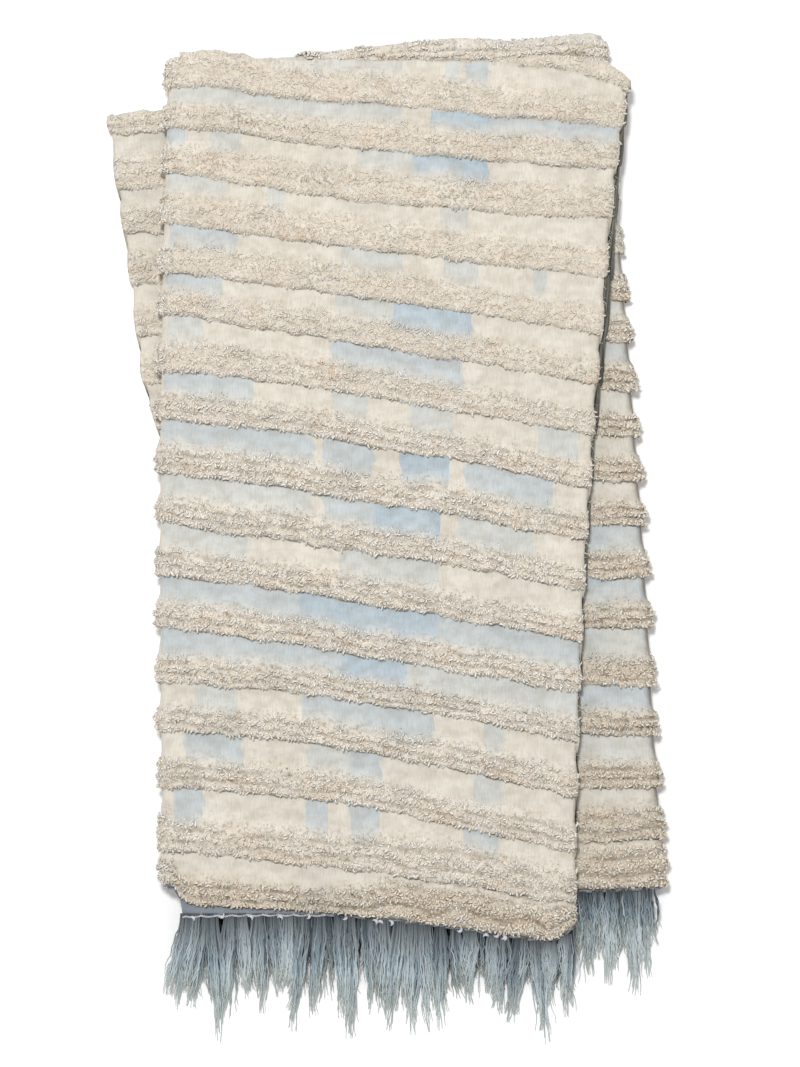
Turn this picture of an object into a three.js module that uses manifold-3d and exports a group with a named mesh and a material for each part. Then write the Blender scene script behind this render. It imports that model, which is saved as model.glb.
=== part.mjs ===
// A throw blanket of woven cloth with raised pile bands and fringed ends. It is folded in half
// across its length, so that both fringed ends meet, and then in three along its length, back and
// forth. It lies flat: X to the right, Y from the fringe to the crosswise fold, Z up, millimetres.
import * as THREE from "three";
import { mergeVertices } from "three/addons/utils/BufferGeometryUtils.js";
import Module from "manifold-3d";

// Cloth
const GROUND = 2; // thickness of the plain weave
const BACK_GAP = 1; // between the two backs inside each double layer
const PILE_FREE = 7; // height of pile that nothing presses on
const PILE_PRESSED = 4; // height of pile that lies on the floor or under another layer
const LAYER_GAP = 0.8; // between the piles of two panels
const TUFT_OVERHANG = 3; // how far the pile sticks out past a selvedge
const COVER_MARGIN = 9; // how far past a panel's edge the pile below it is still pressed
const PILE_RISE = 12; // distance over which pile rises from pressed to free
const LAST_COVER = 0.97; // the most of a panel's width that the panel above it covers

// Pile bands, as shares of the distance from one band's lower edge to the next
const BAND_TOP = 0.57; // where a band's upper edge is
const BAND_ROWS = [
  { up: BAND_TOP, pile: 0 },
  { up: 0.42, pile: 1 },
  { up: 0.06, pile: 1 },
  { up: 0, pile: 0 },
];

// The four long edges of the folded panels, from right to left in the order of the cloth. foldX and
// footX are where the edge starts at the crosswise fold and ends at the fringe, and bow is how much
// it curves between. foldDown is the crosswise fold's distance below the highest point, and
// foldBand is the band that lies there. slip is how far the second layer's end lies below the first's,
// and spread is how far its selvedge lies to the right of the first's.
const EDGES = [
  { name: "selvedgeA", foldX: 214, footX: 166, bow: 1, foldDown: 42, foldBand: -0.13, slip: -8, spread: 6 },
  { name: "foldAB", foldX: -197, footX: -200, bow: 0, foldDown: 32, foldBand: 0.52, slip: 12, spread: 0 },
  { name: "foldBC", foldX: 192, footX: 239, bow: 0.1, foldDown: 12.5, foldBand: -0.33, slip: 4, spread: 0 },
  { name: "selvedgeC", foldX: -246, footX: -189, bow: 1, foldDown: 80, foldBand: 0.75, slip: 3, spread: 3 },
];

// The lower edge of each pile band along those four edges, as distances below the highest point.
// sagA is how much lower still it lies halfway across panel A.
const BANDS = [
  { selvedgeA: 87, sagA: 0, foldAB: 52, foldBC: 69, selvedgeC: 91 },
  { selvedgeA: 124, sagA: 4, foldAB: 88, foldBC: 111, selvedgeC: 139 },
  { selvedgeA: 168, sagA: 8, foldAB: 128, foldBC: 154, selvedgeC: 180 },
  { selvedgeA: 220, sagA: 2, foldAB: 174, foldBC: 196, selvedgeC: 226 },
  { selvedgeA: 271, sagA: -3, foldAB: 217, foldBC: 239, selvedgeC: 271 },
  { selvedgeA: 315, sagA: -2, foldAB: 254, foldBC: 278, selvedgeC: 314 },
  { selvedgeA: 360, sagA: -3, foldAB: 302, foldBC: 321, selvedgeC: 355 },
  { selvedgeA: 406, sagA: -6, foldAB: 347, foldBC: 359, selvedgeC: 398 },
  { selvedgeA: 454, sagA: -5, foldAB: 395, foldBC: 401, selvedgeC: 440 },
  { selvedgeA: 496, sagA: -2, foldAB: 438, foldBC: 440, selvedgeC: 483 },
  { selvedgeA: 543, sagA: -3, foldAB: 483, foldBC: 486, selvedgeC: 524 },
  { selvedgeA: 588, sagA: -3, foldAB: 530, foldBC: 530, selvedgeC: 566 },
  { selvedgeA: 631, sagA: -7, foldAB: 578, foldBC: 582, selvedgeC: 608 },
  { selvedgeA: 681, sagA: -10, foldAB: 622, foldBC: 624, selvedgeC: 651 },
  { selvedgeA: 731, sagA: -11, foldAB: 672, foldBC: 670, selvedgeC: 692 },
  { selvedgeA: 775, sagA: -2, foldAB: 728, foldBC: 716, selvedgeC: 734 },
  { selvedgeA: 807, sagA: 3, foldAB: 775, foldBC: 757, selvedgeC: 775 },
];

// Fringe
const HEADING = 11; // width of the plain strip that the locks hang from
const PART_GAP = 0.3; // between that strip and the cloth
const LOCK_PITCH = 13.6;
const LOCK_LENGTH = 72; // of the top panel's locks, measured flat
const LOCK_LENGTH_UNDER = 64; // of the locks of the two panels below
const LOCK_UNEVEN = 6;
const LOCK_WIDTH = 8.8;
const LOCK_HEIGHT = 2.2; // near the cloth
const LOCK_HEIGHT_END = 0.6; // at a tip LOCK_LENGTH away
const LOCK_CLEARANCE = 0.6; // between locks that lie on one another
const ROOT_WIDTH = 7;
const ROOT_INSIDE = 5; // how far a lock's root reaches into the strip
const LOCK_FALL = 48; // distance over which locks come down from the cloth's level
const UNDER_REACH = 70; // how far the lower panels' locks hold up those of the top panel
const UNDER_DROP = 18; // distance over which these then come down
const UNDER_LAYERS = 4; // layers of locks below the top panel
const LOCK_RINGS = [
  { distance: 0, wide: 0.9 },
  { distance: 22, wide: 1 },
  { distance: 45, wide: 0.8 },
  { distance: 60, wide: 0.5 },
];
const SWAY = 2.4; // how far neighbouring locks lean sideways
const FOLD_ROOT_WIDTH = 1.6; // of the lock that turns out of a lengthwise fold
const FOLD_LOCK_LEAN = 9;

// How many sub-divisions each stretch of the cloth has
const FOLD_TURNS = [0.25, 0.5, 0.75]; // as shares of each half turn
const TOP_ROWS = [0.86, 0.72, 0.58, 0.43, 0.28, 0.14, 0];
const A_SHARES = [0, 0.2, 0.4, 0.6, 0.8, 1];

const bandCount = BANDS.length;
const half = BACK_GAP / 2 + GROUND; // from a panel's middle to the outside of its ground
const panelPitch = 2 * (half + PILE_PRESSED) + LAYER_GAP;
const heightC = half + PILE_PRESSED;
const heightB = heightC + panelPitch;
const heightA = heightB + panelPitch;
const turn = panelPitch / 2; // radius of a lengthwise fold's middle

const mix = (a, b, share) => a + (b - a) * share;
const clamp = (x) => Math.min(1, Math.max(0, x));
const smooth = (x) => clamp(x) ** 2 * (3 - 2 * clamp(x));

// The pile's share of its full height at a place given in bands, where whole numbers are lower edges.
function pileShare(band) {
  const up = Math.ceil(band - 1e-9) - band;
  for (let i = 1; i < BAND_ROWS.length; i++) {
    const [a, b] = [BAND_ROWS[i - 1], BAND_ROWS[i]];
    if (up <= a.up && up >= b.up) return mix(b.pile, a.pile, (up - b.up) / (a.up - b.up));
  }
  return 0;
}

// How far below the highest point a band place lies on one of the four edges.
function down(edge, band) {
  if (band <= 1) {
    const first = BANDS[0][edge.name];
    return mix(edge.foldDown, first, (band - edge.foldBand) / (1 - edge.foldBand));
  }
  const i = Math.min(Math.floor(band), bandCount - 1);
  return mix(BANDS[i - 1][edge.name], BANDS[i][edge.name], band - i);
}

function edgeX(edge, band) {
  const share = (band - edge.foldBand) / (bandCount - edge.foldBand);
  return mix(edge.foldX, edge.footX, share + edge.bow * share * (1 - share));
}

// Any value of the four edges at across = 0 (first selvedge) to 3 (last selvedge).
function between(across, value) {
  const i = Math.min(Math.floor(across), 2);
  return mix(value(EDGES[i]), value(EDGES[i + 1]), across - i);
}

// How far below the highest point a place of the cloth lies.
function downAt(across, band) {
  const straight = between(across, (edge) => down(edge, band));
  if (across >= 1) return straight;
  const i = Math.min(Math.floor(Math.max(band, 1)), bandCount - 1);
  const share = clamp(band - i);
  return straight + mix(BANDS[i - 1].sagA, BANDS[i].sagA, share) * 4 * across * (1 - across);
}

const [SELVEDGE_A, FOLD_AB, FOLD_BC, SELVEDGE_C] = EDGES;
const turnInset = turn + half; // from a fold's outermost ground to the middle of its turn
const centreAB = (band) => edgeX(FOLD_AB, band) + turnInset;
const centreBC = (band) => edgeX(FOLD_BC, band) - turnInset;
const coverA = (band) => edgeX(SELVEDGE_A, band) + COVER_MARGIN; // panel A presses panel B up to here
const coverB = (band) => edgeX(FOLD_AB, band) - COVER_MARGIN; // panel B presses panel C up to here
const freeAfter = (distance) => mix(PILE_PRESSED, PILE_FREE, clamp(distance / PILE_RISE));

// A column of the cloth: at a band place it gives the middle of the double layer (x, z), the normal
// that its first layer faces (nx, nz), its place across, and the pile height of each layer.
const flat = (across, x, z, nz, pile) => ({ across, x, z, nx: 0, nz, pile });

function columnA(share) {
  return (band) => {
    const x = mix(edgeX(SELVEDGE_A, band), centreAB(band), share);
    return flat(share, x, heightA, 1, [PILE_FREE, PILE_PRESSED]);
  };
}

function turnAB(share) {
  const angle = share * Math.PI;
  const [sin, cos] = [Math.sin(angle), Math.cos(angle)];
  return (band) => ({
    across: 1,
    x: centreAB(band) - turn * sin,
    z: (heightA + heightB) / 2 + turn * cos,
    nx: -sin,
    nz: cos,
    pile: [mix(PILE_FREE, PILE_PRESSED, (1 - cos) / 2), PILE_PRESSED],
  });
}

// where(band) is the column's share of the way across panel B.
function columnB(where) {
  return (band) => {
    const share = where(band);
    const x = mix(centreAB(band), centreBC(band), share);
    return flat(1 + share, x, heightB, -1, [PILE_PRESSED, freeAfter(x - coverA(band))]);
  };
}

function turnBC(share) {
  const angle = share * Math.PI;
  const [sin, cos] = [Math.sin(angle), Math.cos(angle)];
  return (band) => {
    const x = centreBC(band) + turn * sin;
    const top = freeAfter(x - coverA(band));
    return {
      across: 2,
      x,
      z: (heightB + heightC) / 2 + turn * cos,
      nx: -sin,
      nz: -cos,
      pile: [PILE_PRESSED, mix(top, PILE_PRESSED, (1 - cos) / 2)],
    };
  };
}

function columnC(where) {
  return (band) => {
    const share = where(band);
    const x = mix(centreBC(band), edgeX(SELVEDGE_C, band), share);
    return flat(2 + share, x, heightC, 1, [freeAfter(coverB(band) - x), PILE_PRESSED]);
  };
}

// The shares across B and C at which the panel above them ends, held inside the panel.
function endOfCoverA(band) {
  const share = (coverA(band) - centreAB(band)) / (centreBC(band) - centreAB(band));
  return Math.min(share, LAST_COVER);
}

function endOfCoverB(band) {
  const start = centreBC(band);
  return Math.min((coverB(band) - start) / (edgeX(SELVEDGE_C, band) - start), LAST_COVER);
}

const COLUMNS = [
  ...A_SHARES.map(columnA),
  ...FOLD_TURNS.map(turnAB),
  columnB(() => 0),
  columnB((band) => endOfCoverA(band) / 2),
  columnB(endOfCoverA),
  columnB((band) => mix(endOfCoverA(band), 1, 0.5)),
  columnB(() => 1),
  ...FOLD_TURNS.map(turnBC),
  columnC(() => 0),
  columnC((band) => endOfCoverB(band) / 2),
  columnC(endOfCoverB),
  columnC(() => 1),
];

// The rows of the cloth, from the first layer's fringed end over the crosswise fold to the second's.
// side is 1 on the first layer and -1 on the second, or between them on the fold itself.
function layerRows(layer) {
  const rows = [];
  for (let i = bandCount; i > 1; i--) {
    for (const { up } of [...BAND_ROWS].reverse()) rows.push({ layer, side: 1 - 2 * layer, band: () => i - up });
  }
  const joins = 2 - BAND_TOP; // the second band's upper edge
  for (const share of TOP_ROWS) {
    const band = (across) => mix(between(across, (edge) => edge.foldBand), joins, share);
    rows.push({ layer, side: 1 - 2 * layer, band });
  }
  return rows;
}

const foldBandAt = (across) => between(across, (edge) => edge.foldBand);
const foldRows = FOLD_TURNS.map((share) => ({ side: Math.cos(share * Math.PI), band: foldBandAt }));
const ROWS = [...layerRows(0), ...foldRows, ...layerRows(1).reverse()];

// The place of one point of the cloth. offset(pile) is its distance from the double layer's middle.
function clothPoint(column, row, offset) {
  const across = column(bandCount).across;
  const guess = column(row.band(across));
  const band = row.band(guess.across);
  const at = column(band);
  const pile = mix(at.pile[1], at.pile[0], (1 + row.side) / 2) * pileShare(band);
  const reach = offset(pile);
  const overFold = reach * Math.sqrt(1 - row.side ** 2);
  const second = (1 - row.side) / 2; // how much of the second layer this is
  const slip = second * between(at.across, (edge) => edge.slip) * clamp(band / bandCount) ** 3;
  const spread = second * between(at.across, (edge) => edge.spread);
  return new THREE.Vector3(
    at.x + spread + at.nx * reach * row.side,
    -downAt(at.across, band) - slip + overFold,
    at.z + at.nz * reach * row.side,
  );
}

const outside = (pile) => half + pile;
const inside = () => BACK_GAP / 2;

// The back of the cloth is flat, so it needs only one row a band.
const isBackRow = (row, i) =>
  i === 0 || i === ROWS.length - 1 || row.layer === undefined || i % BAND_ROWS.length === 0;

// A closed solid from two grids of points that share their outline: faces on both, and rims between.
function sheetSolid(outer, inner, outerPlaces, innerPlaces) {
  const positions = [];
  const add = (grid) =>
    grid.map((line) => line.map((p) => positions.push(p.x, p.y, p.z) / 3 - 1));
  const [o, n] = [add(outer), add(inner)];
  const faces = [];
  const quad = (a, b, c, d) => faces.push(a, b, c, a, c, d);
  const columns = o[0].length;
  for (let c = 0; c + 1 < columns; c++) {
    for (let r = 0; r + 1 < o.length; r++) quad(o[r][c], o[r + 1][c], o[r + 1][c + 1], o[r][c + 1]);
    for (let r = 0; r + 1 < n.length; r++) quad(n[r][c], n[r][c + 1], n[r + 1][c + 1], n[r + 1][c]);
    const [p, q] = [o.length - 1, n.length - 1];
    quad(o[0][c], o[0][c + 1], n[0][c + 1], n[0][c]);
    quad(o[p][c], n[q][c], n[q][c + 1], o[p][c + 1]);
  }
  for (const [c, turned] of [[0, false], [columns - 1, true]]) {
    let [i, j] = [0, 0];
    while (i + 1 < o.length || j + 1 < n.length) {
      const stepOuter = j + 1 === n.length || (i + 1 < o.length && outerPlaces[i + 1] <= innerPlaces[j + 1]);
      const next = stepOuter ? o[i + 1][c] : n[j + 1][c];
      faces.push(...(turned ? [o[i][c], next, n[j][c]] : [o[i][c], n[j][c], next]));
      if (stepOuter) i++;
      else j++;
    }
  }
  const geometry = new THREE.BufferGeometry();
  geometry.setAttribute("position", new THREE.BufferAttribute(new Float32Array(positions), 3));
  geometry.setIndex(faces);
  return geometry;
}

function clothGeometry() {
  const overhang = (point, columnIndex, raised) => {
    if (columnIndex === 0) point.x += TUFT_OVERHANG * raised;
    if (columnIndex === COLUMNS.length - 1) point.x -= TUFT_OVERHANG * raised;
    return point;
  };
  const outer = ROWS.map((row) =>
    COLUMNS.map((column, c) => {
      const { across } = column(bandCount);
      return overhang(clothPoint(column, row, outside), c, pileShare(row.band(across)));
    }),
  );
  const backRows = ROWS.map((row, i) => i).filter((i) => isBackRow(ROWS[i], i));
  const inner = backRows.map((i) => COLUMNS.map((column) => clothPoint(column, ROWS[i], inside)));
  return sheetSolid(outer, inner, ROWS.map((row, i) => i), backRows);
}

// The end of one layer at each column, at an offset from the double layer's middle, moved further out
// from the cloth by a distance.
function endLine(layer, offset, distance) {
  const row = ROWS[layer === 0 ? 0 : ROWS.length - 1];
  const out = new THREE.Vector3(0, distance, 0);
  return COLUMNS.map((column) => clothPoint(column, row, () => offset).sub(out));
}

// The plain strip that the locks hang from, as wide as the cloth and folded with it.
function headingGeometry(layer) {
  const faceLines = [endLine(layer, half, HEADING), endLine(layer, half, PART_GAP)];
  const backLines = [endLine(layer, BACK_GAP / 2, HEADING), endLine(layer, BACK_GAP / 2, PART_GAP)];
  if (layer === 1) {
    faceLines.reverse();
    backLines.reverse();
  }
  return sheetSolid(faceLines, backLines, [0, 1], [0, 1]);
}

// How far the lowest thing at the top panel's end lies below the lower panels' end, at a place x.
function leadOfA(across, x) {
  const shareB = (x - centreAB(bandCount)) / (centreBC(bandCount) - centreAB(bandCount));
  return endDown(across) - endDown(1 + shareB);
}

// Where both layers' strips have ended: the locks of both start to come down from there.
function endDown(across) {
  return downAt(across, bandCount) + between(across, (edge) => Math.max(0, edge.slip)) + HEADING;
}

const lockHeight = (distance) => mix(LOCK_HEIGHT, LOCK_HEIGHT_END, distance / LOCK_LENGTH);

// The height that a lock rests at: on the floor or on the locks that lie below it.
function restHeight(place, distance) {
  const step = lockHeight(distance) + LOCK_CLEARANCE;
  if (place.panel !== "A") return step * place.order;
  const uncovered = clamp((distance + leadOfA(place.across, place.x) - UNDER_REACH) / UNDER_DROP);
  return step * (place.order - UNDER_LAYERS * uncovered);
}

// One lock of three sides, flat below, from inside the heading strip to its tip on what lies below.
function lockGeometry(place) {
  const length = (place.panel === "A" ? LOCK_LENGTH : LOCK_LENGTH_UNDER) + place.longer;
  const start = -endDown(place.across);
  const startHeight = place.z - lockHeight(0) / 2;
  const points = [];
  const addRing = (x, y, z, wide, high) =>
    points.push([x - wide / 2, y, z], [x + wide / 2, y, z], [x, y, z + high]);
  addRing(place.x, place.y - HEADING + ROOT_INSIDE, startHeight, place.rootWidth, lockHeight(0));
  for (const { distance, wide } of LOCK_RINGS) {
    const z = mix(startHeight, restHeight(place, distance), smooth(distance / LOCK_FALL));
    const width = distance === 0 ? place.rootWidth : LOCK_WIDTH * wide;
    addRing(place.x + (place.lean * distance) / length, start - distance, z, width, lockHeight(distance));
  }
  const tip = restHeight(place, length);
  points.push([place.x + place.lean, start - length, tip + lockHeight(length)]);
  const faces = [0, 2, 1];
  const rings = LOCK_RINGS.length + 1;
  for (let r = 0; r + 1 < rings; r++) {
    for (const [a, b] of [[0, 1], [1, 2], [2, 0]]) {
      const [p, q, s, t] = [3 * r + a, 3 * r + b, 3 * r + 3 + b, 3 * r + 3 + a];
      faces.push(p, q, s, p, s, t);
    }
  }
  const [last, top] = [3 * (rings - 1), 3 * rings];
  for (const [a, b] of [[0, 1], [1, 2], [2, 0]]) faces.push(last + a, last + b, top);
  const geometry = new THREE.BufferGeometry();
  geometry.setAttribute("position", new THREE.BufferAttribute(new Float32Array(points.flat()), 3));
  geometry.setIndex(faces);
  return geometry;
}

// The panels' flat stretches as columns of the cloth, and each layer's place in the stack of locks
const PANEL_COLUMNS = [
  { panel: "A", from: 0, to: 5, orders: [5, 4] },
  { panel: "B", from: 9, to: 13, orders: [2, 3] },
  { panel: "C", from: 17, to: 20, orders: [1, 0] },
];
// The fold around whose outside each layer turns
const OUTER_FOLDS = [
  { column: 7, across: 1, away: -1 },
  { column: 15, across: 2, away: 1 },
];

// Where the locks of one end hang: evenly along each flat panel, and one on a fold's outside.
function lockPlaces(layer) {
  const line = endLine(layer, (BACK_GAP + GROUND) / 2, 0);
  const places = [];
  for (const { panel, from, to, orders } of PANEL_COLUMNS) {
    const width = line[to].x - line[from].x;
    const count = Math.round(Math.abs(width) / LOCK_PITCH) - layer;
    for (let i = 0; i < count; i++) {
      const x = line[from].x + (width * (i + 0.5)) / count;
      let c = from;
      while (c + 1 < to && (line[c + 1].x - x) * width < 0) c++;
      const share = (x - line[c].x) / (line[c + 1].x - line[c].x);
      const { y, z } = line[c].clone().lerp(line[c + 1], share);
      const across = mix(COLUMNS[c](bandCount).across, COLUMNS[c + 1](bandCount).across, share);
      const lean = SWAY * (Math.sin(i * 0.9) + 0.8 * Math.sin(i * 0.37 + from));
      const longer = LOCK_UNEVEN * Math.sin(i * 2.4 + from);
      places.push({ panel, x, y, z, across, order: orders[layer], lean, longer, rootWidth: ROOT_WIDTH });
    }
  }
  const { column, across, away } = OUTER_FOLDS[layer];
  const outermost = { panel: "fold", ...line[column], across, order: 0, longer: 0 };
  places.push({ ...outermost, lean: away * FOLD_LOCK_LEAN, rootWidth: FOLD_ROOT_WIDTH });
  return places;
}

const wasm = await Module();
wasm.setup();

function toManifold(geometry) {
  const bare = geometry.clone();
  for (const name of Object.keys(bare.attributes)) if (name !== "position") bare.deleteAttribute(name);
  const merged = mergeVertices(bare, 1e-4);
  const vertProperties = merged.attributes.position.array;
  const triVerts = new Uint32Array(merged.index.array);
  return new wasm.Manifold(new wasm.Mesh({ numProp: 3, vertProperties, triVerts }));
}

function toGeometry(solid) {
  const { vertProperties, triVerts } = solid.getMesh();
  const geometry = new THREE.BufferGeometry();
  geometry.setAttribute("position", new THREE.BufferAttribute(vertProperties, 3));
  geometry.setIndex(new THREE.BufferAttribute(triVerts, 1));
  return geometry;
}

function fringeGeometry(layer) {
  const locks = lockPlaces(layer).map((place) => toManifold(lockGeometry(place)));
  return toGeometry(wasm.Manifold.union([toManifold(headingGeometry(layer)), ...locks]));
}

const woven = new THREE.MeshStandardMaterial({ color: 0xd9cfbf, roughness: 0.95, metalness: 0 });
const warpEnds = new THREE.MeshStandardMaterial({ color: 0x8b9ea8, roughness: 0.9, metalness: 0 });

const folded = new THREE.Group();
for (const [name, geometry, material] of [
  ["throw_cloth", clothGeometry(), woven],
  ["fringe_upper_end", fringeGeometry(0), warpEnds],
  ["fringe_under_end", fringeGeometry(1), warpEnds],
]) {
  const mesh = new THREE.Mesh(geometry, material);
  mesh.name = name;
  folded.add(mesh);
}

// The origin is on the floor under the middle of the whole throw.
const box = new THREE.Box3().setFromObject(folded);
const middle = box.getCenter(new THREE.Vector3());
folded.position.set(-middle.x, -middle.y, -box.min.z);

const part = new THREE.Group();
part.add(folded);

export default part;
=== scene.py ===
import math

import bpy
import numpy as np
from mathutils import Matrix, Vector


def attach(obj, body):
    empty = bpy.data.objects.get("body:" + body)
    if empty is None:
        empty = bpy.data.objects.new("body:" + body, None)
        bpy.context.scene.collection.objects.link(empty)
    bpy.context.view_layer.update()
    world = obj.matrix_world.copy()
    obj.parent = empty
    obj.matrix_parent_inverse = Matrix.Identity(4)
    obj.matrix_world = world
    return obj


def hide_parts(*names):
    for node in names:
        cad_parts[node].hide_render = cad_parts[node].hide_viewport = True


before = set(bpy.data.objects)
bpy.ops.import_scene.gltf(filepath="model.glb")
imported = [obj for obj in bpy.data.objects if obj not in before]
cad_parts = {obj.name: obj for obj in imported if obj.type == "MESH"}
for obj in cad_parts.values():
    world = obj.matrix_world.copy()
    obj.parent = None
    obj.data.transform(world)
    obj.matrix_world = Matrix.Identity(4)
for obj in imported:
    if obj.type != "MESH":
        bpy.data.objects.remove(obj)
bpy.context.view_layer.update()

MM = 0.001
A, AB, B, BC, C = range(5)  # the regions: three panels and the two long folds between them
SEED = 11
ROOT = "root"
NOISE_TABLE = 97  # after this many steps the noise repeats

# Camera and light, placed from the photograph
PIXEL = 0.884  # millimetres to a pixel of the photograph, at the height of the top panel
PHOTO_ROWS = 1067
FRAME_HEIGHT = PHOTO_ROWS * PIXEL
CAMERA_AT = (12.8, 2.9, 2600.0)
TOP_HEIGHT = 38.0
SENSOR = 36.0
WORLD_LIGHT = 0.585
# In metres and watts: the lamp, the floor, and the depth of the finest bumps in the materials
LAMP_AT, LAMP_SIZE, LAMP_POWER = (-0.28, 0.8, 3.0), 0.4, 66
FLOOR_SIZE, FLOOR_DOWN = 8, 0.0005
BUMP_DISTANCE = 0.0004

# Cloth, as in the solids
GROUND = 2.0
BACK_GAP = 1.0
PILE_FREE = 7.0
PILE_PRESSED = 4.0
LAYER_GAP = 0.8
COVER_MARGIN = 9.0  # the pile is pressed this far in under the panel above
PILE_RISE = 12.0  # and gets back to its free height over this distance
LAST_COVER = 0.97
HALF = BACK_GAP / 2 + GROUND
PITCH = 2 * (HALF + PILE_PRESSED) + LAYER_GAP
HEIGHT_C = HALF + PILE_PRESSED
HEIGHT_B = HEIGHT_C + PITCH
HEIGHT_A = HEIGHT_B + PITCH
TURN = PITCH / 2
ORIGIN = np.array([0.18, 449.78, 0.0])  # from the folded throw's own corner to the row's origin

# The four long edges of the panels: selvedge A, fold AB, fold BC, selvedge C
FOLD_X = (214, -192, 192, -247)  # at the crosswise fold
FOOT_X = (166, -197, 246, -189)  # at the fringe
BOW = (1, 4.2, 0.25, 1)
TUCK = 9.0  # how much further in selvedge C runs where it goes under panel A
TUCK_FROM, TUCK_LENGTH = 0.31, 0.09
FOLD_DOWN = (42, 32, 7.5, 82)  # the crosswise fold's distance below the highest point
FOLD_BAND = (-0.22, 0.52, -0.6, 0.75)  # the band that lies there
# Along panel A the crosswise fold is uneven: across the panel, how much lower it lies
FOLD_UNEVEN_AT = (0, 0.013, 0.052, 0.135, 0.22, 0.3, 0.5, 0.7, 0.81, 0.92, 1)
FOLD_UNEVEN = (10, 3, -6, -9, -8, -5.6, -3.7, -3.3, 0, -4.6, -3.5)
FOLD_UNEVEN_BANDS = 0.6  # it evens out over this many bands
BAND_SLANT = 0.35  # in the middle of panel B the bands lie this much nearer to its end
SLIP = (-8, 3, 4, 3)  # how far the second layer's end lies below the first's
SPREAD = (6, 0, 0, 3)  # and how far to the right of it, times the share at each band
SPREAD_BANDS = (0, 1, 4, 8, 17)
SPREAD_SHARES = (0.2, 0.6, 1.0, 0.3, 0.1)

# The lower edge of each pile band along those edges, below the highest point, and how much lower
# still it lies halfway across panel A
BAND_DOWN = np.array([
    (87, 52, 69, 91),
    (124, 88, 111, 139),
    (168, 128, 154, 180),
    (220, 174, 196, 226),
    (271, 217, 239, 271),
    (315, 254, 278, 314),
    (360, 302, 321, 355),
    (406, 347, 359, 398),
    (454, 395, 401, 440),
    (496, 438, 440, 483),
    (543, 483, 486, 524),
    (588, 530, 530, 566),
    (631, 578, 582, 608),
    (681, 622, 624, 651),
    (731, 672, 670, 692),
    (775, 728, 716, 734),
    (811, 775, 757, 775),
], float)
SAG_A = np.array([0, 4, 8, 2, -3, -2, -3, -6, -5, -2, -3, -3, -7, -10, -11, -4, -7], float)
BANDS = len(BAND_DOWN)
END = float(BANDS)
# The cloth's end is rounded upwards at the two corners of panel A, by these millimetres
CORNER_RIGHT = 17.0
CORNER_LEFT = 18.0
CORNER_SHARE = 0.085
CORNER_BANDS = 0.9
BAND_TOP = 0.57  # a band's upper edge, as a share of the distance from one lower edge to the next
BAND_TALLER = 0.36  # bands near the crosswise fold are this much taller
FIRST_TALLER = 0.6  # at the left of panel A the first band reaches over the crosswise fold
BAND_TALLER_AT = (1, 4, 8, 17)
END_TALLER = (1.4, 0.4)  # and so are the last and the second last, at the right
OTHERS_TALLER = 0.7  # the share of all this on the other panels
# How worn the pile is: panel A at its top, further down, and more at its last band, then panel B
WORN_A, WORN_B = (0.1, 0.6, 0.3), (0.6, 0.3)
WORN_FOLD_AB, WORN_C = 0.5, 0.35
# Along the weft, where panel A, fold AB, panel B, fold BC and panel C start, and their lengths
REGION_STARTS = np.array([0, 385, 425, 855, 895])
REGION_LENGTHS = np.array([385, 40, 430, 40, 400])
CREASE_SHADE_SHARE = 0.018  # the painted shade line under a band, as a share of the way to the next
# How the surface is divided: rows up a band, rows of the two bands at the crosswise fold and around
# it, and columns of each region, finer where they show
UP_STEPS = (0, 0.025, 0.07, 0.12, 0.18, 0.24, 0.3, 0.37, 0.45, 0.54, 0.66, 0.8, 0.975)
TOP_STEPS, FOLD_STEPS = 32, 7
COLUMNS = (126, 11, 33, 11, 25)
HIDDEN_COLUMNS = 0.22  # the share of the columns of B and C that the covered part gets
COVER_SLACK = 0.03
INNER_EVERY = 8  # the cloth's back has every eighth row of its face

# Blue weft runs in the plain strips of panel A, by how strong they are: the number of the band above,
# and from and to in millimetres from RUNS_FROM.
RUNS_FROM = -197.0
RAGGED = 1.6  # how uneven their ends are
LIGHT, BLUE, STRONG = 0.4, 0.66, 1.0
BLUE_RUNS = {
    LIGHT: (
        (0, 57, 212), (0, 250, 263), (1, 9, 212), (2, 42, 69), (2, 171, 224), (3, 4, 55), (3, 93, 106),
        (3, 245, 270), (4, 156, 212), (4, 248, 281), (4, 327, 340), (5, 152, 206), (6, 3, 35),
        (7, 150, 181), (7, 217, 256), (7, 331, 367), (9, 0, 133), (9, 261, 327), (10, 0, 75),
        (10, 155, 243), (12, 212, 376), (13, 27, 66), (13, 283, 301), (14, 128, 168), (14, 274, 301),
    ),
    BLUE: (
        (0, 267, 289), (1, 286, 402), (2, 4, 19), (4, 4, 66), (5, 3, 53), (6, 148, 265), (7, 0, 80),
        (8, 0, 71), (8, 71, 133), (8, 140, 186), (8, 267, 345), (9, 141, 190), (11, -2, 124),
        (11, 239, 380), (12, -2, 159), (13, 124, 239), (14, 19, 71), (14, 168, 193), (15, 9, 35),
        (15, 126, 146), (15, 165, 192), (15, 265, 296),
    ),
    STRONG: (
        (1, 237, 286), (2, 224, 287), (5, 206, 274), (8, 210, 254), (9, 190, 245), (11, 124, 239),
        (12, 159, 212),
    ),
}
# How blue the plain strips are that show of panel B, from the top down
BLUE_B = (0.3, 0.3, 0.5, 0.4, 0.6, 0.5, 0.7, 0.2, 0.1, 0.1, 0.8, 0.9, 0.5, 0.8, 0.4, 0.1, 0.1)

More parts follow.
